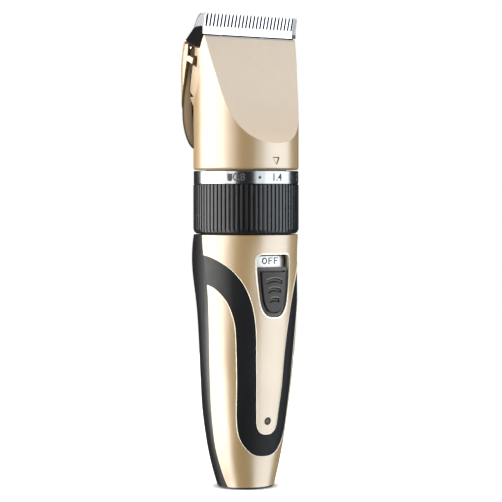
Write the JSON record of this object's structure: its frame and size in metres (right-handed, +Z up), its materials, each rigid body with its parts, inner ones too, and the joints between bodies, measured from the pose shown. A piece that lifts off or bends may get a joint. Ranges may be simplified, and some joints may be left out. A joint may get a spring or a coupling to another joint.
{
  "type": "hair clipper",
  "caption": "Cordless hair clipper with a tapered two-tone handle, sliding power switch, ribbed taper dial, scooped head and a folding toothed blade set.",
  "frame": {"origin": "centre of the foot plate's flat underside, on the axis of the neck and dial", "axes": "+Z up through the handle to the blade tips, -Y out of the front face with the switch, +X to the right as seen from the front"},
  "size_m": [0.042, 0.0414, 0.1753],
  "materials": {
    "gold_shell": "champagne gold metallic paint over moulded plastic",
    "black_grip": "soft-touch black",
    "black_plastic": "moulded",
    "dial_black": "moulded, ribbed",
    "blade_black": "moulded",
    "slider_grey": "moulded",
    "chrome_trim": "bright plated",
    "edge_trim": "polished pale gold rim",
    "bronze_cheek": "dark gold",
    "switch_silver": "satin",
    "steel": "ground",
    "core_steel": "laminated and sintered",
    "brass": "turned",
    "cutter_white": "white ceramic",
    "cell_wrap": "shrink sleeve",
    "board_green": "lacquered",
    "component_black": "moulded",
    "lens_dark": "smoked lens"
  },
  "bodies": {
    "housing": {"front_shell": "gold_shell", "rear_shell": "black_grip", "grip_inlay": "black_grip", "foot_plate": "black_plastic", "foot_screw": "steel", "charging_socket": "component_black", "socket_pin": "brass", "switch_plate": "switch_silver", "switch_body": "component_black", "indicator_lens": "lens_dark", "circuit_board": "board_green", "board_parts": "component_black", "battery_cell": "cell_wrap", "cell_strap_low": "steel", "cell_strap_high": "steel", "neck_tube": "black_plastic", "motor_can": "steel", "motor_cap": "black_plastic", "motor_tabs": "brass", "motor_screws": "steel", "motor_magnets": "core_steel", "detent_leaf": "steel", "head_frame": "black_plastic", "frame_screws": "steel", "rocker_pin": "steel", "hinge_pin": "steel", "head_front": "gold_shell", "head_cover": "gold_shell", "cover_cheeks": "bronze_cheek", "switch_bezel": "edge_trim"},
    "switch": {"switch_slider": "slider_grey", "switch_nub": "component_black"},
    "dial": {"dial_ring": "dial_black", "scale_band": "chrome_trim"},
    "lifter": {"lift_slide": "black_plastic"},
    "rotor": {"motor_shaft": "steel", "eccentric": "brass", "motor_armature": "core_steel", "commutator": "brass"},
    "rocker_arm": {"rocker": "black_plastic"},
    "blade_set": {"blade_base": "blade_black", "comb_blade": "steel", "comb_screws": "steel"},
    "carriage": {"taper_carriage": "black_plastic", "tension_spring": "steel"},
    "cutter": {"cutter_blade": "cutter_white", "cutter_holder": "black_plastic"}
  },
  "joints": [
    {"name": "switch_slide", "type": "slide", "parent": "housing", "child": "switch", "axis": [0, 0, 1], "range_m": [0, 0.0042]},
    {"name": "dial_turn", "type": "hinge", "parent": "housing", "child": "dial", "pos_m": [0, 0, 0.104], "axis": [0, 0, 1], "range_deg": [-43, 43]},
    {"name": "lift_move", "type": "slide", "parent": "housing", "child": "lifter", "axis": [0, 0, 1], "range_m": [-0.0006, 0.0006]},
    {"name": "motor_spin", "type": "hinge", "parent": "housing", "child": "rotor", "pos_m": [0, 0, 0.1], "axis": [0, 0, 1], "continuous": true},
    {"name": "rocker_swing", "type": "hinge", "parent": "housing", "child": "rocker_arm", "pos_m": [0, 0.002, 0.146], "axis": [0, 1, 0], "range_deg": [-4.6, 4.6]},
    {"name": "blade_fold", "type": "hinge", "parent": "housing", "child": "blade_set", "pos_m": [0, 0.0089, 0.1634], "axis": [-1, 0, 0], "range_deg": [0, 38]},
    {"name": "taper_move", "type": "slide", "parent": "blade_set", "child": "carriage", "axis": [0, 0, 1], "range_m": [-0.0006, 0.0006]},
    {"name": "cutter_stroke", "type": "slide", "parent": "carriage", "child": "cutter", "axis": [1, 0, 0], "range_m": [-0.00112, 0.00112]}
  ],
  "couplings": [
    {"joint": "lift_move", "follows": "dial_turn", "m_per_rad": 0.000799},
    {"joint": "taper_move", "follows": "dial_turn", "m_per_rad": 0.000799},
    {"joint": "rocker_swing", "follows": "cutter_stroke", "rad_per_m": 71.43}
  ]
}
